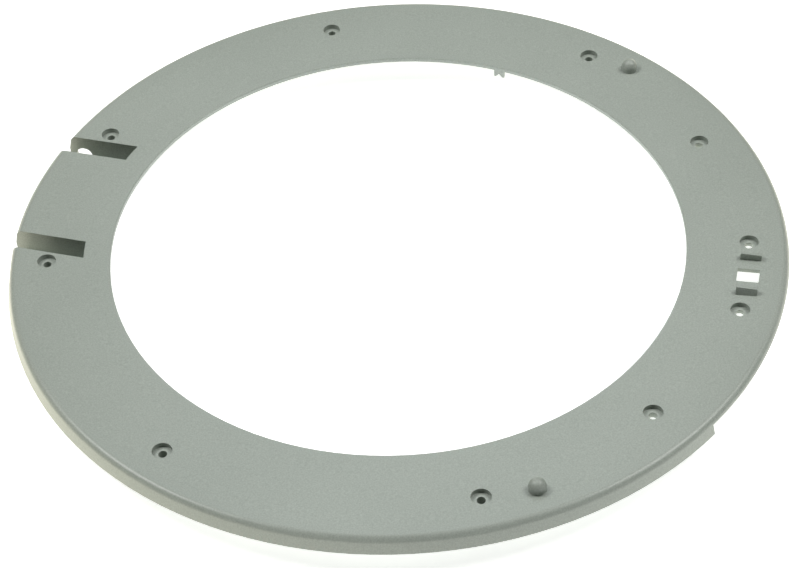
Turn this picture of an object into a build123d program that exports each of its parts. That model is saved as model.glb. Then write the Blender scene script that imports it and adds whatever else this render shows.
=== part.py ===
from build123d import *
import os
from math import asin, cos, degrees, radians, sin, tan

os.makedirs("parts", exist_ok=True)

# Millimetres. The machine-facing side is up. The feet of the screw towers and of the hinge pockets
# stand on Z = 0. +X runs from the hinge to the latch. A share is a place on the face or a width there,
# as a part of the way from the rim to the opening.

# Ring
outer_diameter = 400.0          # at the foot of the skirt
opening_diameter = 295.0        # hole for the door glass
frame_depth = 19.5              # feet to the sharp corner of face and skirt
wall = 2.2                      # even moulded wall
skirt_depth = 8.5               # sharp corner down to the foot of the skirt
skirt_flare = 14.0              # degrees from upright
face_slope = 2.8                # degrees, the face falls towards the opening
shoulder_rounding = 3.6         # outside rounding of face and skirt
opening_chamfer = 0.4           # edge of the glass opening

# Finger grip at the latch, where the skirt is set back behind a lip
grip_half_angle = 30.0          # degrees to each side of +X
lip_straight = 0.2              # height of the lip below the rounded shoulder
grip_share = 0.171              # depth of the recess behind the lip

# Screws
screw_hole_diameter = 4.2       # clearance for a 4 mm screw
screw_head_diameter = 9.6       # counterbore for the screw head
screw_head_depth = 2.6
screw_floor = 2.2               # plastic left under the screw head
grip_screw_floor = 3.4          # the pair beside the finger grip is thicker there
cup_wall = 2.0                  # wall round the counterbore
tower_diameter = 9.0
screw_share = 0.404
side_screw_angle = 65.2         # from +X, and from -X on the other half
latch_screw_spacing = 48.8
grip_screw_share = 0.49
grip_screw_angle = 34.3         # from +X
hinge_screw_share = 0.385
hinge_screw_gap = 6.4           # screw axis to the side of the hinge slot

# Hinge slots, open at the rim, in pockets that are closed below
slot_width = 11.8
slot_spacing = 77.2             # centre to centre
slot_end_gap = 0.4              # plastic left between the slot's end and the ring rib
pin_diameter = 9.2
pin_inset = 13.0                # hole centre inside the rim
pin_drop = 12.3                 # hole centre below the sharp corner

# Latch window and the two raised ribs beside it
window_length = 10.9            # along X
window_width = 9.0
window_share = 0.405
window_rounding = 0.4
guide_length = 10.4
guide_share = 0.4
guide_gap = 22.0                # between the upright inner faces
guide_top_width = 2.2
guide_foot_width = 3.4          # the outer face leans
guide_height = 3.9
guide_rounding = 0.4

# Two stop bumps, short pegs with a round top
bump_radius = 4.2
bump_height = 6.3
bump_share = 0.33
bump_angle = 57.2

# Lug under the glass edge, with a notch in its end
lug_angle = 79.65
lug_width = 5.9
lug_drop = 4.2                  # below the underside of the face
lug_thickness = 1.6
notch_width = 3.6
notch_depth = 2.0

# Stiffening under the face
seat_share = 0.21               # flat seat for the glass seal, opening to ring rib
rib_thickness = 1.8
rib_set_back = 2.0              # radial ribs end above the foot of the skirt
rib_step = 20.0                 # degrees between radial ribs
rib_count = 6                   # on each side, from the grip towards the hinge

overcut = 1.0                   # extra length of cutting tools

# Sizes that follow
outer_radius = outer_diameter / 2
opening_radius = opening_diameter / 2
face_width = outer_radius - opening_radius
skirt_foot = frame_depth - skirt_depth
flare_rate = tan(radians(skirt_flare))
slope_rate = tan(radians(face_slope))
corner_radius = outer_radius - skirt_depth * flare_rate
face_drop = wall / cos(radians(face_slope))
skirt_across = wall / cos(radians(skirt_flare))
inside_shift = (
    wall
    * (cos(radians(skirt_flare)) - sin(radians(face_slope)))
    / (1 + sin(radians(skirt_flare - face_slope)))
)
inside_corner_radius = corner_radius - inside_shift
shoulder_turn = 90 - skirt_flare + face_slope
shoulder_reach = shoulder_rounding * tan(radians(shoulder_turn / 2))
lip_edge = frame_depth - shoulder_reach * cos(radians(skirt_flare)) - lip_straight
grip_wall_radius = corner_radius - grip_share * face_width
ring_rib_inner = opening_radius + seat_share * face_width
ring_rib_outer = ring_rib_inner + wall
rib_foot = skirt_foot + rib_set_back
cup_diameter = screw_head_diameter + 2 * cup_wall
slot_half_span = slot_spacing / 2
hinge_screw_side = slot_half_span + slot_width / 2 + hinge_screw_gap
pocket_width = slot_width + 2 * wall
pin_side = slot_half_span + slot_width / 2 + wall / 2
pin_reach = outer_radius - pin_inset
pin_height = frame_depth - pin_drop


def reach(share):
    return outer_radius - share * face_width


def face_height(radius):
    return frame_depth - (corner_radius - radius) * slope_rate


def mid_face(radius):
    return face_height(radius) - wall / 2


def polar(radius, angle):
    return (radius * cos(radians(angle)), radius * sin(radians(angle)))


def radial_plane(angle):
    return Plane((0, 0, 0), x_dir=(*polar(1, angle), 0), z_dir=(*polar(1, angle - 90), 0))


def on_face(radius, angle):
    return (*polar(radius, angle), face_height(radius))


def sideways(radius, side):
    return degrees(asin(side / radius))


latch_screw_angle = sideways(reach(screw_share), latch_screw_spacing / 2)
hinge_screw_angle = 180 - sideways(reach(hinge_screw_share), hinge_screw_side)
side_screws = [
    on_face(reach(screw_share), angle)
    for angle in (side_screw_angle, -side_screw_angle, 180 - side_screw_angle, side_screw_angle - 180)
]
hinge_screws = [on_face(reach(hinge_screw_share), angle) for angle in (hinge_screw_angle, -hinge_screw_angle)]
latch_screws = [on_face(reach(screw_share), angle) for angle in (latch_screw_angle, -latch_screw_angle)]
grip_screws = [on_face(reach(grip_screw_share), angle) for angle in (grip_screw_angle, -grip_screw_angle)]
tower_screws = side_screws + hinge_screws
thin_screws = tower_screws + latch_screws

upright = (Align.CENTER, Align.CENTER, Align.MIN)
mid_corner = (corner_radius - wall, mid_face(corner_radius - wall))
mid_foot = outer_radius - skirt_across / 2

# Space below the middle of the wall, used to end the hinge pockets at the ring's own surfaces
with BuildPart() as pocket_space:
    with BuildSketch(Plane.XZ):
        with BuildLine():
            Polyline(
                (ring_rib_inner, 0),
                (outer_radius, 0),
                (outer_radius, skirt_foot),
                (mid_foot, skirt_foot),
                mid_corner,
                (ring_rib_inner, mid_face(ring_rib_inner)),
                close=True,
            )
        make_face()
    revolve(axis=Axis.Z)

# Blocks that the hinge slots are cut from
with BuildPart() as hinge_blocks:
    with BuildSketch(Plane.XY):
        with Locations((-outer_radius / 2, slot_half_span), (-outer_radius / 2, -slot_half_span)):
            Rectangle(outer_radius, pocket_width)
    extrude(amount=frame_depth)
    add(pocket_space.part, mode=Mode.INTERSECT)

# One radial rib from the ring rib to the skirt
with BuildPart() as long_rib:
    with BuildSketch(Plane.XZ):
        with BuildLine():
            Polyline(
                (ring_rib_outer - wall / 2, rib_foot),
                (mid_foot - rib_set_back * flare_rate, rib_foot),
                mid_corner,
                (ring_rib_outer - wall / 2, mid_face(ring_rib_outer - wall / 2)),
                close=True,
            )
        make_face()
    extrude(amount=rib_thickness / 2, both=True)

# One radial rib from the ring rib to the wall of the finger grip
with BuildPart() as short_rib:
    with BuildSketch(Plane.XZ):
        with BuildLine():
            Polyline(
                (ring_rib_outer - wall / 2, rib_foot),
                (grip_wall_radius - wall / 2, rib_foot),
                (grip_wall_radius - wall / 2, mid_face(grip_wall_radius - wall / 2)),
                (ring_rib_outer - wall / 2, mid_face(ring_rib_outer - wall / 2)),
                close=True,
            )
        make_face()
    extrude(amount=rib_thickness / 2, both=True)

# Raised ribs beside the latch window
with BuildPart() as guides:
    guide_base = face_height(reach(guide_share))
    guide_top = guide_base + guide_height
    with BuildSketch(Plane.YZ.offset(reach(guide_share) - guide_length / 2)):
        with BuildLine():
            Polyline(
                (guide_gap / 2, guide_base - wall / 2),
                (guide_gap / 2 + guide_foot_width, guide_base - wall / 2),
                (guide_gap / 2 + guide_foot_width, guide_base),
                (guide_gap / 2 + guide_top_width, guide_top),
                (guide_gap / 2, guide_top),
                close=True,
            )
        make_face()
        mirror(about=Plane.YZ)
    extrude(amount=guide_length)
    fillet(guides.edges().filter_by_position(Axis.Z, guide_top, guide_top), guide_rounding)

with BuildPart() as porthole_frame:
    # Dished face and flared skirt in one wall
    shoulder = (corner_radius, frame_depth)
    with BuildSketch(Plane.XZ) as section:
        with BuildLine():
            Polyline(
                (opening_radius, face_height(opening_radius) - opening_chamfer),
                (opening_radius + opening_chamfer, face_height(opening_radius + opening_chamfer)),
                shoulder,
                (outer_radius, skirt_foot),
                (outer_radius - skirt_across, skirt_foot),
                (inside_corner_radius, face_height(inside_corner_radius) - face_drop),
                (opening_radius, face_height(opening_radius) - face_drop),
                close=True,
            )
        make_face()
        fillet(section.vertices().sort_by_distance(shoulder)[0], shoulder_rounding)
    revolve(axis=Axis.Z)

    # Finger grip: the skirt stops at a lip, and a wall stands behind it
    with BuildSketch(radial_plane(-grip_half_angle)):
        with BuildLine():
            Polyline(
                (grip_wall_radius, 0),
                (outer_radius + overcut, 0),
                (outer_radius + overcut, lip_edge),
                (grip_wall_radius, lip_edge),
                close=True,
            )
        make_face()
    revolve(axis=Axis.Z, revolution_arc=2 * grip_half_angle, mode=Mode.SUBTRACT)
    with BuildSketch(radial_plane(-grip_half_angle)):
        with BuildLine():
            Polyline(
                (grip_wall_radius - wall, skirt_foot),
                (grip_wall_radius, skirt_foot),
                (grip_wall_radius, mid_face(grip_wall_radius)),
                (grip_wall_radius - wall, mid_face(grip_wall_radius - wall)),
                close=True,
            )
        make_face()
    revolve(axis=Axis.Z, revolution_arc=2 * grip_half_angle)

    # Ring rib beside the glass seat
    with BuildSketch(Plane.XZ):
        with BuildLine():
            Polyline(
                (ring_rib_inner, skirt_foot),
                (ring_rib_outer, skirt_foot),
                (ring_rib_outer, mid_face(ring_rib_outer)),
                (ring_rib_inner, mid_face(ring_rib_inner)),
                close=True,
            )
        make_face()
    revolve(axis=Axis.Z)

    # Radial ribs; the pair beside the grip closes the ends of its recess
    grip_end_angle = grip_half_angle + degrees(asin(rib_thickness / 2 / corner_radius))
    for angle in (grip_end_angle, *(grip_half_angle + rib_step * n for n in range(1, rib_count + 1))):
        with Locations(Rotation(0, 0, angle), Rotation(0, 0, -angle)):
            add(long_rib.part)
    with Locations(Rotation(0, 0, grip_half_angle / 2), Rotation(0, 0, -grip_half_angle / 2)):
        add(short_rib.part)

    # Hinge pockets, screw towers and cups under the screw heads
    add(hinge_blocks.part)
    for screws, floor in ((thin_screws, screw_floor), (grip_screws, grip_screw_floor)):
        for x, y, top in screws:
            cup_height = screw_head_depth + floor - wall / 2
            with Locations((x, y, top - wall / 2 - cup_height)):
                Cylinder(cup_diameter / 2, cup_height, align=upright)
    for x, y, top in tower_screws:
        with Locations((x, y, 0)):
            Cylinder(tower_diameter / 2, top - screw_head_depth - screw_floor / 2, align=upright)

    add(guides.part)

    # Stop bumps, hollow below
    bump_base = face_height(reach(bump_share)) - wall / 2
    bump_top = face_height(reach(bump_share)) + bump_height
    core_radius = bump_radius - wall
    for angle in (bump_angle, -bump_angle):
        spot = polar(reach(bump_share), angle)
        with Locations((*spot, bump_base)):
            Cylinder(bump_radius, bump_top - bump_radius - bump_base, align=upright)
        with Locations((*spot, bump_top - bump_radius)):
            Sphere(bump_radius, arc_size1=0, align=None)
        with Locations((*spot, bump_base - wall)):
            Cylinder(core_radius, bump_top - bump_base, align=upright, mode=Mode.SUBTRACT)

    # Lug for the glass
    lug_top = mid_face(opening_radius)
    lug_bottom = face_height(opening_radius) - face_drop - lug_drop
    with BuildSketch(
        Plane(
            (*polar(opening_radius, lug_angle), 0),
            x_dir=(*polar(1, lug_angle + 90), 0),
            z_dir=(*polar(1, lug_angle), 0),
        )
    ):
        with BuildLine():
            Polyline(
                (-lug_width / 2, lug_top),
                (-lug_width / 2, lug_bottom),
                (-notch_width / 2, lug_bottom),
                (0, lug_bottom + notch_depth),
                (notch_width / 2, lug_bottom),
                (lug_width / 2, lug_bottom),
                (lug_width / 2, lug_top),
                close=True,
            )
        make_face()
    extrude(amount=lug_thickness)

    # Hinge slots with their pin holes
    with BuildSketch(Plane.XY.offset(wall)):
        with Locations((-outer_radius / 2, slot_half_span), (-outer_radius / 2, -slot_half_span)):
            Rectangle(outer_radius + 2 * overcut, slot_width)
        Circle(ring_rib_outer + slot_end_gap, mode=Mode.SUBTRACT)
    extrude(amount=frame_depth, mode=Mode.SUBTRACT)
    for side in (pin_side, -pin_side):
        with Locations(Location((-pin_reach, side, pin_height), (90, 0, 0))):
            Cylinder(pin_diameter / 2, wall + overcut, mode=Mode.SUBTRACT)

    # Latch window
    with BuildSketch(Plane.XY):
        with Locations((reach(window_share), 0)):
            RectangleRounded(window_length, window_width, window_rounding)
    extrude(amount=frame_depth + overcut, mode=Mode.SUBTRACT)

    # Screw holes
    with Locations(*thin_screws, *grip_screws):
        CounterBoreHole(screw_hole_diameter / 2, screw_head_diameter / 2, screw_head_depth)

porthole_frame.part.label = "porthole_frame"
export_step(porthole_frame.part, "parts/porthole_frame.step")
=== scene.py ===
from math import atan2, cos, hypot, pi, radians, sin, tan

import bmesh
import bpy
from mathutils import Matrix, Vector


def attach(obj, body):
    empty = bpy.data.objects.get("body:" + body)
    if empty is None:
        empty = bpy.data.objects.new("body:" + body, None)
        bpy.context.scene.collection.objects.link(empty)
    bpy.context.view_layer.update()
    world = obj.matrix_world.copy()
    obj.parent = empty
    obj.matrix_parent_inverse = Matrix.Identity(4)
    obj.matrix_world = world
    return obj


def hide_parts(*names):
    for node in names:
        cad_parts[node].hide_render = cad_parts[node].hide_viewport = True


# Camera, measured from the photograph. Metres and degrees, in the frame of the part.
CAMERA_TURN = 15.0
CAMERA_ELEVATION = 44.397
CAMERA_ROLL = -3.518
CAMERA_PLACE = (0.18616, -0.69468, 0.68635)
FOCAL_PIXELS = 1911.12
IMAGE_WIDTH = 800
SENSOR_WIDTH = 36.0

# Rounded shoulder of the moulding, as in the part's source. The corner is given by its radius and height.
# Metres and degrees.
SHOULDER_CORNER = (0.19788, 0.0195)
SHOULDER_ROUNDING = 0.0036
SKIRT_DEPTH = 0.0085
SKIRT_FLARE = 14.0
FACE_SLOPE = 2.8

# Finer mesh of the shoulder: cuts in each edge, how far a point may move to reach the true curve, and how
# far a face has to look up and out to count as outer skin. Metres and degrees.
SHOULDER_CUTS = 5
SNAP_DISTANCE = 0.0012
OUTWARD_LIMIT = 0.5
WELD_DISTANCE = 0.000001
SHARP_ANGLE = 30.0

# Grey plastic: a slow drift between two tones, and a fine grain in tone, polish and relief
PLASTIC_TONES = ((0.375, 0.415, 0.375, 1), (0.405, 0.447, 0.405, 1))
PLASTIC_IOR = 1.5
DRIFT_SCALE = 9.0
DRIFT_DETAIL = 3.0
DRIFT_RANGE = (0.3, 0.7)
GRAIN_SCALE = 1400.0
GRAIN_DETAIL = 2.0
GRAIN_STRENGTH = 0.3
GRAIN_RELIEF = 0.15
GRAIN_HEIGHT = 0.00008
ROUGHNESS_RANGE = (0.3, 0.38)

# Lamps: name, place as seen from the camera (right, away, up), size, power and colour. Metres and watts.
LIGHTS = (
    ("left_light", (-0.85, 0.2, 1.25), (0.6, 0.6), 10.3, (1, 1, 0.97)),
    ("right_light", (0.85, 0.1, 1.25), (0.6, 0.6), 9.5, (1, 1, 0.97)),
    ("top_light", (0.0, 0.2, 1.5), (1.6, 0.3), 4.0, (1, 1, 0.98)),
    ("sheen_card", (0.0, 0.6, 0.85), (0.5, 0.4), 2.0, (0.9, 0.97, 1)),
)
# This lamp is only mirrored in the part and gives it no other light
MIRRORED_ONLY = "sheen_card"

# Light table under the part: its brightness as seen, and its glow on the part, which is warm outside the ring
# and weaker inside it and at the near right
TABLE_SIZE = 8.0
TABLE_TURN = 25.0
TABLE_COLOUR = (0.8, 0.8, 0.8, 1)
TABLE_SEEN = 0.72
TABLE_FADE = (-0.28, 0.0)
TABLE_SHADE = (0.15, 0.22)
TABLE_NEAR_GLOW = (0.9, 0.92, 0.92, 1)
TABLE_FAR_GLOW = (1.55, 1.44, 1.12, 1)

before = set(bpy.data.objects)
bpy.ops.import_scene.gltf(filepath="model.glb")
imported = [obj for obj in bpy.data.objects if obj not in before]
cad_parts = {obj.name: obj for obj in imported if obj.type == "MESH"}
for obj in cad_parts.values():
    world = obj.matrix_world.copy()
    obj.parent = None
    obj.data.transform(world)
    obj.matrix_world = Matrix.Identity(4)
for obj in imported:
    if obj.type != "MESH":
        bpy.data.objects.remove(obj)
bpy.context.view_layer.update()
scene = bpy.context.scene
scene.view_settings.view_transform = "Standard"


def new_material(name):
    material = bpy.data.materials.new(name)
    material.use_nodes = True
    material.node_tree.nodes.clear()
    return material, material.node_tree.nodes, material.node_tree.links


def noise(nodes, links, place, scale, detail):
    texture = nodes.new("ShaderNodeTexNoise")
    texture.inputs["Scale"].default_value = scale
    texture.inputs["Detail"].default_value = detail
    links.new(place.outputs["Object"], texture.inputs["Vector"])
    return texture


def grey_plastic():
    material, nodes, links = new_material("grey_plastic")
    output = nodes.new("ShaderNodeOutputMaterial")
    shader = nodes.new("ShaderNodeBsdfPrincipled")
    shader.inputs["IOR"].default_value = PLASTIC_IOR
    links.new(shader.outputs["BSDF"], output.inputs["Surface"])

    place = nodes.new("ShaderNodeTexCoord")

    # Slow drift of colour, as in a large moulding
    drift = noise(nodes, links, place, DRIFT_SCALE, DRIFT_DETAIL)
    tone = nodes.new("ShaderNodeValToRGB")
    for stop, position, colour in zip(tone.color_ramp.elements, DRIFT_RANGE, PLASTIC_TONES):
        stop.position = position
        stop.color = colour
    links.new(drift.outputs["Fac"], tone.inputs["Fac"])

    # Fine speckle of the moulded grain
    grain = noise(nodes, links, place, GRAIN_SCALE, GRAIN_DETAIL)
    speckle = nodes.new("ShaderNodeMix")
    speckle.data_type = "RGBA"
    speckle.blend_type = "OVERLAY"
    speckle.inputs["Factor"].default_value = GRAIN_STRENGTH
    links.new(tone.outputs["Color"], speckle.inputs["A"])
    links.new(grain.outputs["Fac"], speckle.inputs["B"])
    links.new(speckle.outputs["Result"], shader.inputs["Base Color"])

    polish = nodes.new("ShaderNodeMapRange")
    polish.inputs["To Min"].default_value = ROUGHNESS_RANGE[0]
    polish.inputs["To Max"].default_value = ROUGHNESS_RANGE[1]
    links.new(grain.outputs["Fac"], polish.inputs["Value"])
    links.new(polish.outputs["Result"], shader.inputs["Roughness"])

    relief = nodes.new("ShaderNodeBump")
    relief.inputs["Strength"].default_value = GRAIN_RELIEF
    relief.inputs["Distance"].default_value = GRAIN_HEIGHT
    links.new(grain.outputs["Fac"], relief.inputs["Height"])
    links.new(relief.outputs["Normal"], shader.inputs["Normal"])
    return material


def on_shoulder(point):
    # Nearest point of the true rounding or skirt, or nothing where the point is off both
    slope, flare = radians(FACE_SLOPE), radians(SKIRT_FLARE)
    first, last = pi / 2 + slope, flare
    reach = SHOULDER_ROUNDING * tan((first - last) / 2)
    corner = Vector(SHOULDER_CORNER)
    inward = Vector((-cos(slope), -sin(slope)))
    down = Vector((sin(flare), -cos(flare)))
    centre = corner + reach * inward - SHOULDER_ROUNDING * Vector((cos(first), sin(first)))
    radius = hypot(point.x, point.y)
    section = Vector((radius, point.z))
    offset = section - centre
    if last <= atan2(offset.y, offset.x) <= first:
        curve = centre + SHOULDER_ROUNDING * offset.normalized()
    else:
        along = (section - corner).dot(down)
        if not reach <= along <= SKIRT_DEPTH / cos(flare):
            return None
        curve = corner + along * down
    found = Vector((point.x * curve.x / radius, point.y * curve.x / radius, curve.y))
    return found if (found - point).length < SNAP_DISTANCE else None


def faces_out(face):
    # True for the outer skin of the shoulder, not for the flat walls of the slots that end on it
    centre = face.calc_center_median()
    away = Vector((centre.x, centre.y, 0)).normalized() + Vector((0, 0, 1))
    return face.normal.dot(away.normalized()) > OUTWARD_LIMIT


def finer_frame(solid):
    # The same shape with a finer shoulder, so that its long curve shows no flats
    mesh = solid.data.copy()
    mesh.name = "fine_frame"
    normals = mesh.attributes.get("custom_normal")
    if normals:
        mesh.attributes.remove(normals)
    shape = bmesh.new()
    shape.from_mesh(mesh)
    shape.transform(solid.matrix_world)
    bmesh.ops.remove_doubles(shape, verts=shape.verts, dist=WELD_DISTANCE)
    curved = {vert for vert in shape.verts if on_shoulder(vert.co)}
    outward = {face for face in shape.faces if curved.issuperset(face.verts) and faces_out(face)}
    edges = [edge for edge in shape.edges if not outward.isdisjoint(edge.link_faces)]
    bmesh.ops.subdivide_edges(shape, edges=edges, cuts=SHOULDER_CUTS, use_grid_fill=True)
    for vert in shape.verts:
        found = on_shoulder(vert.co)
        if found:
            vert.co = found
    shape.to_mesh(mesh)
    shape.free()
    mesh.shade_smooth()
    mesh.set_sharp_from_angle(angle=radians(SHARP_ANGLE))
    piece = bpy.data.objects.new("fine_frame", mesh)
    scene.collection.objects.link(piece)
    return piece


def light_table():
    # Backlit white table, which also takes the shadow of the part
    material, nodes, links = new_material("light_table")
    output = nodes.new("ShaderNodeOutputMaterial")
    matt = nodes.new("ShaderNodeBsdfDiffuse")
    matt.inputs["Color"].default_value = TABLE_COLOUR

    # Glow on the part: full outside the ring and at the far left, weaker elsewhere
    bounce = nodes.new("ShaderNodeEmission")
    place = nodes.new("ShaderNodeTexCoord")
    axes = nodes.new("ShaderNodeSeparateXYZ")
    links.new(place.outputs["Object"], axes.inputs["Vector"])
    fade = nodes.new("ShaderNodeMapRange")
    fade.inputs["From Min"].default_value = TABLE_FADE[0]
    fade.inputs["From Max"].default_value = TABLE_FADE[1]
    links.new(axes.outputs["Y"], fade.inputs["Value"])
    reach = nodes.new("ShaderNodeVectorMath")
    reach.operation = "LENGTH"
    links.new(place.outputs["Object"], reach.inputs[0])
    outside = nodes.new("ShaderNodeMapRange")
    outside.inputs["From Min"].default_value = TABLE_SHADE[0]
    outside.inputs["From Max"].default_value = TABLE_SHADE[1]
    links.new(reach.outputs["Value"], outside.inputs["Value"])
    share = nodes.new("ShaderNodeMath")
    share.operation = "MULTIPLY"
    links.new(fade.outputs["Result"], share.inputs[0])
    links.new(outside.outputs["Result"], share.inputs[1])
    tint = nodes.new("ShaderNodeValToRGB")
    tint.color_ramp.elements[0].color = TABLE_NEAR_GLOW
    tint.color_ramp.elements[1].color = TABLE_FAR_GLOW
    links.new(share.outputs["Value"], tint.inputs["Fac"])
    links.new(tint.outputs["Color"], bounce.inputs["Color"])

    # The camera sees a plain white
    seen = nodes.new("ShaderNodeEmission")
    seen.inputs["Strength"].default_value = TABLE_SEEN
    rays = nodes.new("ShaderNodeLightPath")
    glow = nodes.new("ShaderNodeMixShader")
    both = nodes.new("ShaderNodeAddShader")
    links.new(rays.outputs["Is Camera Ray"], glow.inputs[0])
    links.new(bounce.outputs["Emission"], glow.inputs[1])
    links.new(seen.outputs["Emission"], glow.inputs[2])
    links.new(matt.outputs["BSDF"], both.inputs[0])
    links.new(glow.outputs["Shader"], both.inputs[1])

    # Seen from below, the table is clear
    facing = nodes.new("ShaderNodeNewGeometry")
    clear = nodes.new("ShaderNodeBsdfTransparent")
    one_side = nodes.new("ShaderNodeMixShader")
    links.new(facing.outputs["Backfacing"], one_side.inputs[0])
    links.new(both.outputs["Shader"], one_side.inputs[1])
    links.new(clear.outputs["BSDF"], one_side.inputs[2])
    links.new(one_side.outputs["Shader"], output.inputs["Surface"])
    return material


def soft_light(name, place, target, size, power, colour):
    data = bpy.data.lights.new(name, "AREA")
    data.shape = "RECTANGLE"
    data.size = size[0]
    data.size_y = size[1]
    data.energy = power
    data.color = colour
    lamp = bpy.data.objects.new(name, data)
    lamp.location = place
    lamp.rotation_euler = (Vector(target) - Vector(place)).to_track_quat("-Z", "Y").to_euler()
    scene.collection.objects.link(lamp)
    return lamp


ring = finer_frame(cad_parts["porthole_frame"])
ring.data.materials.clear()
ring.data.materials.append(grey_plastic())
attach(ring, "root")
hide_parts("porthole_frame")

bpy.ops.mesh.primitive_plane_add(size=TABLE_SIZE, rotation=(0, 0, radians(CAMERA_TURN + TABLE_TURN)))
floor = bpy.context.object
floor.name = "floor"
floor.data.materials.append(light_table())

turn = Matrix.Rotation(radians(CAMERA_TURN), 3, "Z")
for name, place, size, power, colour in LIGHTS:
    lamp = soft_light(name, turn @ Vector(place), (0, 0, 0), size, power, colour)
    lamp.visible_diffuse = name != MIRRORED_ONLY

world = bpy.data.worlds.new("studio")
world.use_nodes = True
nodes, links = world.node_tree.nodes, world.node_tree.links
rays = nodes.new("ShaderNodeLightPath")
links.new(rays.outputs["Is Camera Ray"], nodes["Background"].inputs["Strength"])
nodes["Background"].inputs["Color"].default_value = (1, 1, 1, 1)
scene.world = world

lens = bpy.data.cameras.new("camera")
lens.sensor_width = SENSOR_WIDTH
lens.lens = FOCAL_PIXELS / IMAGE_WIDTH * SENSOR_WIDTH
camera = bpy.data.objects.new("camera", lens)
stance = (
    Matrix.Rotation(radians(CAMERA_TURN), 4, "Z")
    @ Matrix.Rotation(pi / 2 - radians(CAMERA_ELEVATION), 4, "X")
    @ Matrix.Rotation(radians(CAMERA_ROLL), 4, "Z")
)
camera.matrix_world = Matrix.Translation(CAMERA_PLACE) @ stance
scene.collection.objects.link(camera)
scene.camera = camera
